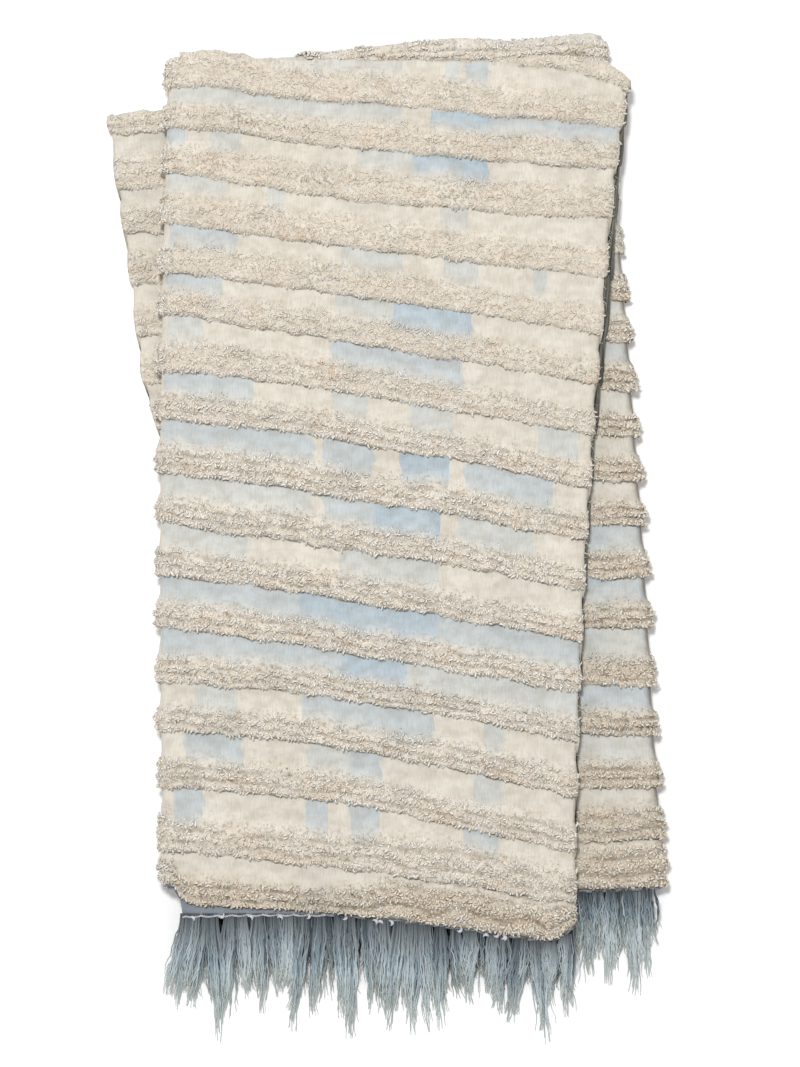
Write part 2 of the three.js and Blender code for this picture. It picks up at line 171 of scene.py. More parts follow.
# Fringe, as in the solids
HEADING = 11.0  # where it shows, at the left of panel A
HEADING_COVERED = 2.0
HEADING_SHOWS = 0.6  # from this share of panel A's width
HEADING_ENDS = 0.979
PART_GAP = 0.3
LOCK_PITCH = 13.6
LAST_LOCK = 0.96
LONG_LOCK = (0.8, 0.845)  # where a lock of panel B shows beyond the others, beside panel A
LOCK_LENGTH = 72.0
LOCK_LENGTH_UNDER = 60.0
OPEN_LENGTH = 1.28  # how much longer the locks of panel B are where they show
LOCK_FALL = 48.0
BUNDLES = 3  # that a lock parts into
STRAND_RINGS = 13
STRANDS_SHOWN = (15, 7)  # in each bundle of a lock of the first and the second layer
STRANDS_HIDDEN = 2
LOCK_HEIGHT = 2.2
LOCK_HEIGHT_END = 0.6
LOCK_CLEARANCE = 0.6
UNDER_REACH = 70.0
UNDER_DROP = 18.0
UNDER_LAYERS = 4
SCALLOP = 1.1  # how far the heading bulges between the locks
# How far locks, their bundles and their strands stray sideways, at the root or at the tip
LOCK_LEAN, ROOT_STRAY = 3.8, 1.3
BUNDLE_PITCH, BUNDLE_STRAY, BUNDLE_DRIFT = 4.2, 0.9, 1.6
BUNDLE_WIDE = (2.3, 4.2)  # half a bundle's width at the root and further down
STRAND_STRAY, SWAY, FRIZZ = 2.0, 1.1, 0.55
BULGE = 2.4  # how round a bundle is
STRAND_RADII = (0.6, 1.05)
LOCK_LENGTHS = (0.8, 1.28)  # least and most in the first layer, as shares of the usual length
LOCK_LENGTHS_UNDER = (0.6, 0.85)  # and in the second
BUNDLE_LENGTHS = (0.62, 0.93)  # of the bundles that aren't a lock's longest
LONG_LOCK_LENGTH = 1.9
# Shares of a panel before or after which its locks lean another way: at both ends of panel A, where
# panel B shows, and where B and C stay hidden behind panel A's fringe
FIRST_LOCKS, LAST_LOCKS = 0.04, 0.94
SHOWN_LOCKS, OPEN_LOCKS = 0.8, 0.9
TUCKED_B, TUCKED_C = 0.08, 0.88
TUCKED_LEAN, TUCKED_BY = 9.0, 8.0

# Twisted yarn, knots and frays
TWIST_POINTS, TWIST_TO = 180, 0.62
TWIST_TURN, TWIST_RADIUS, TWIST_YARN = 1.15, 0.55, 0.5
KNOT_PLACES = (0.66, 0.95, 5)  # a row of knots along the twist
LOOSE_KNOTS = 9
KNOT_SIZE = 3.3
KNOT_PROFILE = np.array([0.4, 0.9, 1.3, 1.5, 1.2, 0.8, 0.4])
FRAYS = 300
FRAY_RINGS = 4
FRAY_LENGTHS, FRAY_RADII = (2.0, 6.5), (0.3, 0.55)
FRAY_DEPTH = 1.4

# Loops of the pile
LOOP_SPACING = 3.3
LOOP_ROW_SPACING = 3.05
BAND_PITCH = 45.0  # about the distance from one band to the next
BASE_SHARE = 0.66  # how much of the pile's height the cloth's own surface takes under the loops
YARN_RADIUS = 1.1
YARN_FLAT = 0.75  # the yarn's height as a share of its width
LOOP_RINGS = 5
LOOP_CORNERS = 3
PIECE_LOOPS = 7500  # the most loops in one piece
LOOP_UPS = (0.035, 0.86)  # a band's first and last row of loops, as shares of the way to the next
# The regions' lengths for the loops, and the layer that they grow on
LOOP_SPANS = ((A, 395, 1), (AB, 44, 1), (B, 430, -1), (BC, 44, -1), (C, 420, 1))
LOOP_SIZES = (0.7, 1.25)
BIG_LOOPS, BIG_SIZE = 0.2, 1.35  # the share of the loops that are larger, and how much
# Where the pile stands and where it is brushed down: half a loop's length and the spread of its turn
LOOP_WIDE = (1.35, 2.3)
LOOP_TURN = (1.4, 0.12)
LOOP_HIGH = (0.4, 0.95)  # of the free pile's height, where it is new and where it is worn
BRUSHED_HIGH = 0.3
LOOP_SUNK = 0.7  # how deep a loop's two ends sit in the cloth
YARN_PROFILE = np.array([0.75, 1.0, 1.1, 1.0, 0.75])  # the yarn's radius along a loop
SHOWN_FROM, SHOWN_FADE = 12.0, 10.0  # loops grow up to here under the panel above
FOLD_LOOP_ANGLES = (20, 42, 64, 86, 108, 130, 152)  # around the crosswise fold, in degrees
ROW_OF_LOOPS = 0.19  # from one row of loops to the next, as a share of the distance between bands
FOLD_SWELL = 0.5  # how much further the pile stands out around the folds
WAVE_LIFT = 1.2  # panel A isn't quite flat: it lies up to twice this higher
RIM_OVERHANG = 2.5  # how far the pile stands out over the selvedges
RIM_SHARE = 0.012
RIM_REACH = 1.3  # half the ground's double thickness at the selvedges


def mix(a, b, share):
    return a + (b - a) * share


def clamp(x):
    return np.clip(x, 0, 1)


def smooth(x):
    x = clamp(x)
    return x * x * (3 - 2 * x)


def share_from(start, end, x):
    """How far x is on the way from start to end."""
    return (x - start) / (end - start)


def noise(x, y, seed):
    """Smooth noise from -1 to 1, one unit to a step."""
    table = np.random.default_rng(seed).uniform(-1, 1, (NOISE_TABLE, NOISE_TABLE))
    x, y = np.broadcast_arrays(np.asarray(x, float), np.asarray(y, float))
    i, j = np.floor(x).astype(int), np.floor(y).astype(int)
    u, v = smooth(x - i), smooth(y - j)
    i, j, next_i, next_j = [k % NOISE_TABLE for k in (i, j, i + 1, j + 1)]
    near = mix(table[i, j], table[next_i, j], u)
    far = mix(table[i, next_j], table[next_i, next_j], u)
    return mix(near, far, v)


def unit(vectors):
    return vectors / np.linalg.norm(vectors, axis=-1, keepdims=True)


def across_of(region, share):
    """Across all panels: 0 at selvedge A, 1 at fold AB, 2 at fold BC and 3 at selvedge C."""
    return np.choose(region, [share, 1.0, 1 + share, 2.0, 2 + share])


def between(across, values):
    """A value given at the four long edges, at across = 0 (selvedge A) to 3 (selvedge C)."""
    return sum(np.clip(1 - np.abs(across - e), 0, None) * values[e] for e in range(4))


def edge_down(e, band):
    places = np.arange(1, BANDS + 1)
    first = mix(FOLD_DOWN[e], BAND_DOWN[0, e], share_from(FOLD_BAND[e], 1, band))
    return np.where(band <= 1, first, np.interp(band, places, BAND_DOWN[:, e]))


def corner_lift(across, band):
    """How far the corners of panel A's end are rounded upwards."""
    near_end = smooth((band - (BANDS - CORNER_BANDS)) / CORNER_BANDS)
    right = clamp(1 - across / CORNER_SHARE)
    left = clamp(1 - np.abs(across - 1) / CORNER_SHARE)
    return near_end * (CORNER_RIGHT * right**2 + CORNER_LEFT * left**4)


def down_at(across, band):
    straight = between(across, [edge_down(e, band) for e in range(4)])
    sag = np.interp(band, np.arange(1, BANDS + 1), SAG_A) * 4 * across * (1 - across)
    near_fold = clamp(1 - (band - fold_band(across)) / FOLD_UNEVEN_BANDS)
    uneven = np.interp(across, FOLD_UNEVEN_AT, FOLD_UNEVEN) * near_fold
    return straight + np.where(across < 1, sag + uneven, 0) - corner_lift(across, band)


def edge_x(e, band):
    share = share_from(FOLD_BAND[e], BANDS, band)
    tucked = TUCK * smooth((share - TUCK_FROM) / TUCK_LENGTH) if e == 3 else 0
    return mix(FOLD_X[e], FOOT_X[e], share + BOW[e] * share * (1 - share)) + tucked


def fold_band(across):
    return between(across, FOLD_BAND)


def centre_ab(band):
    return edge_x(1, band) + TURN + HALF


def centre_bc(band):
    return edge_x(2, band) - TURN - HALF


def cover_a(band):
    return edge_x(0, band) + COVER_MARGIN


def cover_b(band):
    return edge_x(1, band) - COVER_MARGIN


def end_of_cover_a(band):
    return np.minimum(share_from(centre_ab(band), centre_bc(band), cover_a(band)), LAST_COVER)


def end_of_cover_b(band):
    return np.minimum(share_from(centre_bc(band), edge_x(3, band), cover_b(band)), LAST_COVER)


def free_after(distance):
    return mix(PILE_PRESSED, PILE_FREE, clamp(distance / PILE_RISE))


def pile_profile(up):
    """The pile's share of its full height, at up = 0 (lower edge) to 1 (the next one)."""
    return np.interp(up, (0, 0.02, 0.08, 0.3, 0.42, 0.52, 0.64), (0, 0.75, 1, 1, 0.75, 0.3, 0))


def row_wave(up, width, band):
    """The pile's loops stand in rows along the weft: 1 on a row, -1 between two."""
    phase = 0.3 * noise(width / 22, np.ceil(band) * 1.7, 14) - 0.3
    return np.cos(2 * math.pi * (up / ROW_OF_LOOPS + phase))


def base_share(region, side, x, down, band):
    """How much of the pile the cloth's surface takes: all of it where no loops grow."""
    past_a = np.maximum(x - cover_a(band), top_of_a(x) - down)
    shown_b = smooth((past_a + SHOWN_FROM) / SHOWN_FADE)
    shown_c = smooth((cover_b(band) - x + SHOWN_FROM) / SHOWN_FADE)
    first = (side + 1) / 2
    shown = np.choose(region, [first, first, (1 - first) * shown_b, 1 - first, first * shown_c])
    return mix(1.0, BASE_SHARE, shown)


def top_of_a(x):
    """How far down panel A's crosswise fold lies at a place along it."""
    return between(clamp(share_from(edge_x(0, 1.0), centre_ab(1.0), x)), FOLD_DOWN) - HALF - PILE_FREE


def slant(across):
    return BAND_SLANT * np.sin(math.pi * clamp(across - 1))


def pattern_band(across, band):
    """The band of the weave that lies at a place, counted along the edges of the panels."""
    return band - slant(across) * clamp(1 - band)


def place_of_pattern(across, pattern):
    """The other way round: the place where a band of the weave lies."""
    moved = pattern + slant(across)
    return np.where(pattern > 1, pattern, np.where(moved < 0, moved, moved / (1 + slant(across))))


def pile_up(across, band):
    """How far up its band a place lies, where bands that are taller are shrunk to the usual height."""
    in_a = across < 1
    left = np.where(in_a, mix(1, smooth(across * 1.5), smooth((band - 2.5) / 1.5)), OTHERS_TALLER)
    taller = BAND_TALLER * left * np.interp(band, BAND_TALLER_AT, (1, 1, 0.45, 0.2))
    taller = taller + FIRST_TALLER * smooth((across - 0.72) / 0.15) * in_a * (band <= 1)
    at_right = np.where(in_a, 1 - smooth((across - 0.3) / 0.35), OTHERS_TALLER)
    ends = np.where(band > BANDS - 1, END_TALLER[0], np.where(band > BANDS - 2, END_TALLER[1], 0))
    return (np.ceil(band - 1e-9) - band) / (1 + taller + ends * at_right)


def middle(region, share, band):
    """The middle of the double layer: across, x, z, the way the first layer faces, both piles."""
    angle = share * math.pi
    sin, cos = np.sin(angle), np.cos(angle)
    ab, bc = centre_ab(band), centre_bc(band)
    x = np.choose(region, [
        mix(edge_x(0, band), ab, share),
        ab - TURN * sin,
        mix(ab, bc, share),
        bc + TURN * sin,
        mix(bc, edge_x(3, band), share),
    ])
    wave = WAVE_LIFT * (1 + noise(share * 5 + 3, band * 0.55, 17)) * np.sqrt(clamp(1 - share))
    z = np.choose(region, [
        HEIGHT_A + wave * clamp(band / 1.5),
        (HEIGHT_A + HEIGHT_B) / 2 + TURN * cos,
        HEIGHT_B,
        (HEIGHT_B + HEIGHT_C) / 2 + TURN * cos,
        HEIGHT_C,
    ])
    across = across_of(region, share)
    nx = np.choose(region, [0.0, -sin, 0.0, -sin, 0.0])
    nz = np.choose(region, [1.0, cos, -1.0, -cos, 1.0])
    free_b = free_after(np.maximum(x - cover_a(band), top_of_a(x) - down_at(across, band)))
    free_c = free_after(cover_b(band) - x)
    turned = (1 - cos) / 2
    swell = FOLD_SWELL * np.sin(np.clip(angle, 0, math.pi)) ** 2
    over_ab = mix(PILE_FREE, PILE_PRESSED, turned) + swell
    over_bc = mix(free_b, PILE_PRESSED, turned) + swell
    first = np.choose(region, [PILE_FREE, over_ab, PILE_PRESSED, PILE_PRESSED, free_c])
    second = np.choose(region, [PILE_PRESSED, PILE_PRESSED, free_b, over_bc, PILE_PRESSED])
    return across, x, z, nx, nz, first, second


def place(region, share, band, side, reach_of):
    """Points of the cloth and the way that it faces there. side is 1 on the first layer, -1 on the
    second and between them around the crosswise fold. reach_of is a number, or a function of the
    pile's height and of the share of it that the surface takes."""
    region, share, band, side = np.broadcast_arrays(region, share, band, side)
    share, band, side = share.astype(float), band.astype(float), side.astype(float)
    across, x, z, nx, nz, first, second = middle(region, share, band)
    pile = mix(second, first, (1 + side) / 2)
    part = (1 - side) / 2
    slip = part * between(across, SLIP) * clamp(band / BANDS) ** 3
    spread = part * between(across, SPREAD) * np.interp(band, SPREAD_BANDS, SPREAD_SHARES)
    turned = np.sqrt(clamp(1 - side**2))
    down = down_at(across, band) + slip
    reach = reach_of(pile, base_share(region, side, x, down, band)) if callable(reach_of) else reach_of
    y = -down + reach * turned + wander(across, band, side)
    points = np.stack([x + spread + nx * reach * side, y, z + nz * reach * side], -1)
    facing = np.stack([nx * side, turned, nz * side], -1)
    return points + ORIGIN, facing, pile


def wander(across, band, side):
    """How far the bands stray from their even course, in millimetres."""
    held = smooth((BANDS - band) / 0.8)
    row = np.ceil(band - 0.3)
    long_waves = 1.7 * noise(across * 11, band * 0.9, 3)
    short_waves = 1.3 * noise(across * 34, row * 1.3 + side, 4)
    short_waves = short_waves + 0.8 * noise(across * 75, row * 2.3 + side, 16)
    return held * (long_waves + short_waves)


def cloth_columns():
    """The columns of the cloth's surface: their regions and their shares of them."""
    columns = []
    for region, count in enumerate(COLUMNS):
        ends = 1 if region in (AB, BC) else 0
        columns += [(region, s) for s in np.linspace(0, 1, count)[ends : count - ends]]
    regions, shares = zip(*columns)
    return np.array(regions), np.array(shares)


def shown_share(region, share, band):
    """Spends most columns of B and C on the part that no panel covers."""
    covered = np.where(region == B, end_of_cover_a(band), end_of_cover_b(band)) - COVER_SLACK
    open_share = mix(covered, 1, share_from(HIDDEN_COLUMNS, 1, share))
    spent = np.where(share < HIDDEN_COLUMNS, share / HIDDEN_COLUMNS * covered, open_share)
    return np.where((region == B) | (region == C), spent, share)


def cloth_rows():
    """Rows from the first layer's end, over the crosswise fold, to the second's: band, the share of
    the way from the fold to the second band's upper edge (or -1), and side."""
    rows = []
    for i in range(BANDS, 1, -1):
        rows += [(i - up, -1.0, 1.0) for up in UP_STEPS if i - up > 2 - BAND_TOP]
    rows += [(0, s, 1.0) for s in np.linspace(1, 0, TOP_STEPS)]
    around = [(0, 0.0, math.cos(math.pi * k / (FOLD_STEPS + 1))) for k in range(1, FOLD_STEPS + 1)]
    back = [(b, s, -1.0) for b, s, _ in reversed(rows)]
    return np.array(rows + around + back)


def add_object(name, data):
    made = bpy.data.objects.new(name, data)
    bpy.context.scene.collection.objects.link(made)
    return made


def mesh_object(name, points, faces):
    mesh = bpy.data.meshes.new(name)
    mesh.vertices.add(len(points))
    mesh.vertices.foreach_set("co", (np.asarray(points) * MM).astype(np.float32).ravel())
    faces = np.asarray(faces, np.int32)
    mesh.loops.add(faces.size)
    mesh.loops.foreach_set("vertex_index", faces.ravel())
    mesh.polygons.add(len(faces))
    mesh.polygons.foreach_set("loop_start", np.arange(0, faces.size, faces.shape[1], dtype=np.int32))
    mesh.update(calc_edges=True)
    mesh.validate()
    mesh.polygons.foreach_set("use_smooth", np.full(len(mesh.polygons), True))
    return add_object(name, mesh)


def give(made, name, values):
    values = np.asarray(values, np.float32)
    kind = "FLOAT" if values.ndim == 1 else "FLOAT_VECTOR"
    key = "value" if values.ndim == 1 else "vector"
    layer = made.data.attributes.new(name, kind, "POINT")
    layer.data.foreach_set(key, values.ravel())


def grid_faces(rows, columns, first, flipped=False):
    r, c = np.meshgrid(np.arange(rows - 1), np.arange(columns - 1), indexing="ij")
    at = first + r * columns + c
    quads = np.stack([at, at + columns, at + columns + 1, at + 1], -1).reshape(-1, 4)
    return quads[:, ::-1] if flipped else quads


def closed_sheet(outer, inner, outer_places, inner_places):
    """Faces of a closed sheet between two grids of points with the same columns."""
    columns = outer.shape[1]
    points = np.concatenate([outer.reshape(-1, 3), inner.reshape(-1, 3)])
    below = len(outer) * columns
    quads = [grid_faces(len(outer), columns, 0), grid_faces(len(inner), columns, below, True)]
    c = np.arange(columns - 1)
    last_outer = (len(outer) - 1) * columns
    last_inner = below + (len(inner) - 1) * columns
    quads.append(np.stack([c, c + 1, below + c + 1, below + c], -1))
    quads.append(np.stack([last_outer + c, last_inner + c, last_inner + c + 1, last_outer + c + 1], -1))
    rims = []
    for column, turned in ((0, False), (columns - 1, True)):
        i = j = 0
        while i + 1 < len(outer) or j + 1 < len(inner):
            more = i + 1 < len(outer)
            step = j + 1 == len(inner) or (more and outer_places[i + 1] <= inner_places[j + 1])
            here, there = i * columns + column, below + j * columns + column
            ahead = here + columns if step else there + columns
            rims.append((here, ahead, there) if turned else (here, there, ahead))
            i, j = (i + 1, j) if step else (i, j + 1)
    quads = np.concatenate(quads)
    triangles = np.concatenate([quads[:, [0, 1, 2]], quads[:, [0, 2, 3]], np.array(rims)])
    return points, triangles


def blue_amount(region, band, x, side):
    """How blue the weft is at a place of the plain ground."""
    strip = np.floor(band + 1e-6).astype(int)
    from_left = x - ORIGIN[0] - RUNS_FROM + RAGGED * noise(x / 9, band * 60, 21)
    top = ((region == A) | (region == AB)) & (side > 0)
    amount = np.zeros_like(x)
    for strength, runs in BLUE_RUNS.items():
        for number, start, end in runs:
            amount[top & (strip == number) & (from_left > start) & (from_left < end)] = strength
    shown_b = ((region == B) | (region == BC)) & (side < 0)
    strips_b = np.array(BLUE_B)[np.clip(strip, 0, len(BLUE_B) - 1)]
    amount = np.where(shown_b, strips_b * (0.75 + 0.25 * noise(x / 30, band * 3, 22)), amount)
    patches = smooth(0.2 + 1.4 * noise(x / 60, band * 1.1 + 7, 23))
    in_c = (region == C) & (side > 0)
    return np.where(top | shown_b, amount, patches * np.where(in_c, 0.15, 0.7))


def rim_of(region, share):
    """At each of the two selvedges 1, falling to 0 a few millimetres inwards."""
    right = (region == A) * clamp(1 - share / RIM_SHARE)
    left = (region == C) * clamp(1 - (1 - share) / RIM_SHARE)
    return right, left


def roughness_of(region, band):
    """The pile is more worn towards the fringe and on panel B, and its gaps get more painted shade there.
    """
    at_top, further, at_end = WORN_A
    panel_a = at_top + further * smooth((band - 4) / 5) + at_end * smooth((band - BANDS + 0.9) / 0.3)
    panel_b = WORN_B[0] + WORN_B[1] * smooth((band - 1) / 4)
    return np.choose(region, [panel_a, WORN_FOLD_AB, panel_b, panel_b, WORN_C])


def uneven_of(region, share, band, side, rows):
    """The pile's height as a share of its even height: it stands in rows and in uneven tufts."""
    width = cloth_width(region, share)
    worn = roughness_of(region, band)
    fine = 0.14 * noise(width / 4.5, band * 11 + side, 7)
    tufts = (0.08 + 0.26 * worn) * noise(width / 9, band * 6 + side, 8)
    return 1 + fine + tufts + (0.1 + 0.16 * worn + 0.1 * (region >= B)) * rows


def groove_of(region, share, band, up):
    """1 in the grooves between the rows of loops of a worn band, where fewer loops grow and the cloth gets
    a painted shade.
    """
    wave = row_wave(up, cloth_width(region, share), band)
    return clamp(-wave) ** 2 * roughness_of(region, band) * (up < 0.45)


def cloth_width(region, share):
    """Distance along the weft from selvedge A, in millimetres."""
    return REGION_STARTS[region] + REGION_LENGTHS[region] * share


def cloth_places():
    """Region, share, band and side of each point of the cloth's face, by rows."""
    regions, shares = cloth_columns()
    rows = cloth_rows()
    row_band, to_fold, side = rows[:, 0:1], rows[:, 1:2], rows[:, 2:3]
    region = np.broadcast_to(regions, (len(rows), len(regions)))
    near_band = np.broadcast_to(np.where(to_fold < 0, row_band, 1.0), region.shape)
    share = shown_share(region, np.broadcast_to(shares, region.shape), near_band)
    top_band = mix(fold_band(across_of(region, share)), 2 - BAND_TOP, to_fold)
    return region, share, np.where(to_fold < 0, row_band, top_band), np.broadcast_to(side, region.shape)


def build_cloth():
    region, share, band, side = cloth_places()
    across = across_of(region, share)
    width = cloth_width(region, share)
    pattern = pattern_band(across, band)
    up = pile_up(across, pattern)
    edge = 0.05 * noise(width / 14, band * 4 + side, 5) + 0.04 * noise(width / 45, band * 2 + side, 6)
    raised = pile_profile(up + edge * smooth((up - 0.2) / 0.2))
    uneven = uneven_of(region, share, band, side, row_wave(up, width, band))
    right, left = rim_of(region, share)
    ground_reach = mix(HALF, RIM_REACH, right + left)

    def outer_reach(pile, part):
        return ground_reach + pile * raised * part * np.where(part < 0.999, uneven, 1)

    outer, _, _ = place(region, share, band, side, outer_reach)
    outer[..., 0] += (right - left) * RIM_OVERHANG * raised
    outer[..., 2] = np.maximum(outer[..., 2], 0)
    keep = sorted({0, len(band) - 1, *range(0, len(band), INNER_EVERY)})
    inner, _, _ = place(region[keep], share[keep], band[keep], side[keep], BACK_GAP / 2)
    cloth = mesh_object("throw_cloth_woven", *closed_sheet(outer, inner, range(len(band)), keep))

    blue = blue_amount(region, pattern, outer[..., 0], side)
    beside = np.maximum(np.roll(blue, 1, 1), np.roll(blue, -1, 1))
    broken = noise(width / 5, band * 3, 15) + 0.6 * noise(width / 17, band * 2, 18)
    worn = roughness_of(region, band)
    # Painted shade: a dark line under each band's lower edge, broken up by noise and stronger where the
    # pile is worn, and shade painted on fold BC's side between the bands
    crease_shade = np.exp(-((up / CREASE_SHADE_SHARE) ** 2)) * smooth(0.35 + 1.5 * broken) * (0.5 + 0.5 * worn)
    fold_side_shade = (region == BC) * smooth((share - 0.12) / 0.25) * smooth((0.9 - share) / 0.3)
    face = {
        "blue": np.maximum(blue, beside),
        "covered": 1.0 * (blue > 0.01),
        "pile": raised,
        "crease_shade": np.maximum(crease_shade, 0.9 * fold_side_shade * (1 - raised)),
        "rough": worn,
        "groove_shade": groove_of(region, share, band, up),
    }
    for name, values in face.items():
        give(cloth, name, np.concatenate([values.ravel(), np.zeros(len(keep) * band.shape[1])]))
    # Painted shadow: the second layer's strip that shows beside selvedge A, under the first layer's edge,
    # and the cloth's inner side are painted dark grey, lighter at the rims that show
    shadow_under_a = (region == A) & (side < 0) & (share < 0.03)
    rims = ((region[keep] == A) & (share[keep] < RIM_SHARE / 2) & (side[keep] > 0)) | (share[keep] > 0.999)
    give(cloth, "back", np.concatenate([1.0 * shadow_under_a.ravel(), 1 - 0.8 * rims.ravel()]))
    flat = np.stack([width, down_at(across, band) * np.sign(side + 0.01), 0 * band], -1)
    give(cloth, "weave", np.concatenate([flat.reshape(-1, 3), flat[keep].reshape(-1, 3)]) * MM)
    return cloth


def band_loops():
    """Where the pile's loops grow: region, share, band and side."""
    found = []
    rng = np.random.default_rng(SEED)
    step = LOOP_ROW_SPACING / BAND_PITCH
    ups = np.arange(*LOOP_UPS, step)
    for i in range(BANDS + 1):
        for k, up in enumerate(ups):
            for region, length, side in LOOP_SPANS:
                count = int(length / LOOP_SPACING)
                share = (np.arange(count) + 0.5 * (k % 2) + rng.uniform(-0.1, 0.6, count)) / count
                if region == A:
                    share = share * (1 + RIM_SHARE) - RIM_SHARE / 2
                band = i - up + rng.uniform(-0.4, 0.4, count) * step
                place_at = place_of_pattern(across_of(region, share), band)
                found.append(loop_rows(region, share, place_at, side))
    for angle in FOLD_LOOP_ANGLES:
        for region, length, _ in LOOP_SPANS:
            count = int(length / LOOP_SPACING)
            share = (np.arange(count) + rng.uniform(0, 1, count)) / count
            side = np.cos(np.radians(angle + rng.uniform(-8, 8, count)))
            found.append(loop_rows(region, share, fold_band(across_of(region, share)), side))
    region, share, band, side = np.concatenate(found).T
    region = region.astype(int)
    across, x, *_ = middle(region, share, band)
    up = pile_up(across, pattern_band(across, band))
    over_fold = np.abs(side) < 1
    taken = base_share(region, np.where(over_fold, 1, side), x, down_at(across, band), band)
    shows = (taken < 0.97) | over_fold
    shows &= (band >= fold_band(across) - 1e-9) & (band <= BANDS)
    shows &= up < 0.58 + 0.06 * noise(x / 12, band * 5, 9)
    shows &= rng.uniform(0, 1, len(up)) > 0.97 * smooth((up - 0.4) / 0.14)
    shows &= rng.uniform(0, 1, len(up)) > 0.8 * groove_of(region, share, band, up)
    return region[shows], share[shows], band[shows], side[shows]


def loop_rows(region, share, band, side):
    return np.stack(np.broadcast_arrays(float(region), share, band, np.asarray(side, float)), -1)


def loop_points(base, normal, down, wide, high, radius, turned, rng):
    """Curled loops of yarn: rings of points along an arch, for each loop."""
    beside = np.cross(normal, down)
    way = down * np.cos(turned)[:, None] + beside * np.sin(turned)[:, None]
    beside = np.cross(normal, way)
    curl = rng.uniform(-0.9, 0.9, len(base))
    path = []
    for t in np.linspace(0, 1, LOOP_RINGS):
        forward = -np.cos(math.pi * t) * wide + 0.3 * high * math.sin(math.pi * t)
        up = math.sin(math.pi * t) * high - LOOP_SUNK
        sideways = curl * math.sin(2 * math.pi * t) * wide * 0.8
        path.append(base + way * forward[:, None] + normal * up[:, None] + beside * sideways[:, None])
    path = np.stack(path, 1)
    ahead = unit(np.gradient(path, axis=1))
    across = unit(np.cross(ahead, beside[:, None, :]))
    other = np.cross(ahead, across) * YARN_FLAT
    return tube_rings(path, radius[:, None] * YARN_PROFILE, across, other, LOOP_CORNERS)


def tube_rings(path, thick, one, other, corners):
    """Rings of points around paths, as an array by tube, ring, corner and coordinate."""
    angles = 2 * math.pi * np.arange(corners) / corners + math.pi / 2
    rings = [path + thick[..., None] * (one * math.cos(a) + other * math.sin(a)) for a in angles]
    return np.stack(rings, 2)


def tubes_object(name, rings):
    """Open tubes from their rings of points, as one object."""
    count, along, corners, _ = rings.shape
    r, k = np.meshgrid(np.arange(along - 1), np.arange(corners), indexing="ij")
    here, there, beside = r * corners, (r + 1) * corners, (k + 1) % corners
    faces = np.stack([here + k, here + beside, there + beside, there + k], -1).reshape(-1, 4)
    starts = np.arange(count)[:, None, None] * along * corners
    return mesh_object(name, rings.reshape(-1, 3), (faces + starts).reshape(-1, 4))


def build_pile():
    region, share, band, side = band_loops()
    rng = np.random.default_rng(SEED + 1)
    across = across_of(region, share)
    pattern = pattern_band(across, band)
    up = pile_up(across, pattern)
    brushed = smooth((up - 0.34) / 0.2)  # 1 towards a band's upper edge, where the pile lies down
    rough = roughness_of(region, band)
    rows = row_wave(up, cloth_width(region, share), band)
    uneven = uneven_of(region, share, band, side, rows)

    def reach(pile, part):
        return HALF + pile * pile_profile(up) * BASE_SHARE * uneven - 0.15 * brushed

    base, facing, pile = place(region, share, band, side, reach)
    count = len(base)
    around = np.stack([np.zeros(count), facing[:, 2], -facing[:, 1]], -1)
    pull = np.where((np.abs(side) < 1)[:, None], around, (0.0, -1.0, 0.0))
    along = unit(pull - facing * (pull * facing).sum(1, keepdims=True))
    size = rng.uniform(*LOOP_SIZES, count)
    size *= np.where(rng.uniform(0, 1, count) < BIG_LOOPS, BIG_SIZE, 1)
    clump = 1 + 0.4 * noise(base[:, 0] / 9, base[:, 1] / 7, 12) + 0.35 * rows
    wide = mix(*LOOP_WIDE, brushed) * size
    high = mix(pile * (1 - BASE_SHARE) * mix(*LOOP_HIGH, rough) * clump, BRUSHED_HIGH, brushed)
    high *= rng.uniform(0.75, 1.2, count)
    radius = YARN_RADIUS * mix(size**0.5, 0.75, brushed) * rng.uniform(0.85, 1.15, count)
    turned = rng.normal(0, 1, count) * mix(*LOOP_TURN, brushed)
    rings = loop_points(base, facing, along, wide, high, radius, turned, rng)
    above = rings[..., 2].min((1, 2)) > 0
    rings, x, region, side, pattern, up, rough = [
        values[above] for values in (rings, base[:, 0], region, side, pattern, up, rough)
    ]
    tone = clamp(rng.normal(0.5, 0.15, len(rings)))
    strip = np.floor(pattern + 1e-6) + 0.01
    blue = blue_amount(region, strip - 1, x, side) * smooth((up - 0.36) / 0.2)
    at_ring = np.repeat(np.sin(np.linspace(0, math.pi, LOOP_RINGS)), LOOP_CORNERS)
    pieces = []
    for number, start in enumerate(range(0, len(rings), PIECE_LOOPS), 1):
        chosen = slice(start, start + PIECE_LOOPS)
        made = tubes_object(f"pile_loops_{number:02d}", rings[chosen])
        for name, values in (("tone", tone), ("blue", blue), ("rough", rough)):
            give(made, name, np.repeat(values[chosen], len(at_ring)))
        give(made, "top", np.tile(at_ring, len(rings[chosen])))
        pieces.append(made)
    return pieces


def end_place(layer, region, share, out, reach):
    """A point of one layer's end, moved out from the cloth."""
    points, _, _ = place(region, share, END, 1 - 2 * layer, reach)
    return points - np.array([0, 1, 0]) * np.asarray(out)[..., None]


def scallop_at(x):
    return SCALLOP * np.abs(np.sin(x * math.pi / LOCK_PITCH))


def heading_length(across):
    grown = clamp(share_from(HEADING_SHOWS, HEADING_ENDS, across))
    shown = (across < HEADING_ENDS) * (across > HEADING_SHOWS)
    covered = HEADING_COVERED * (1 - 0.8 * smooth((across - 0.9) * 20) * (across < 1))
    return mix(covered, HEADING, grown * shown) + shown * corner_lift(across, END)


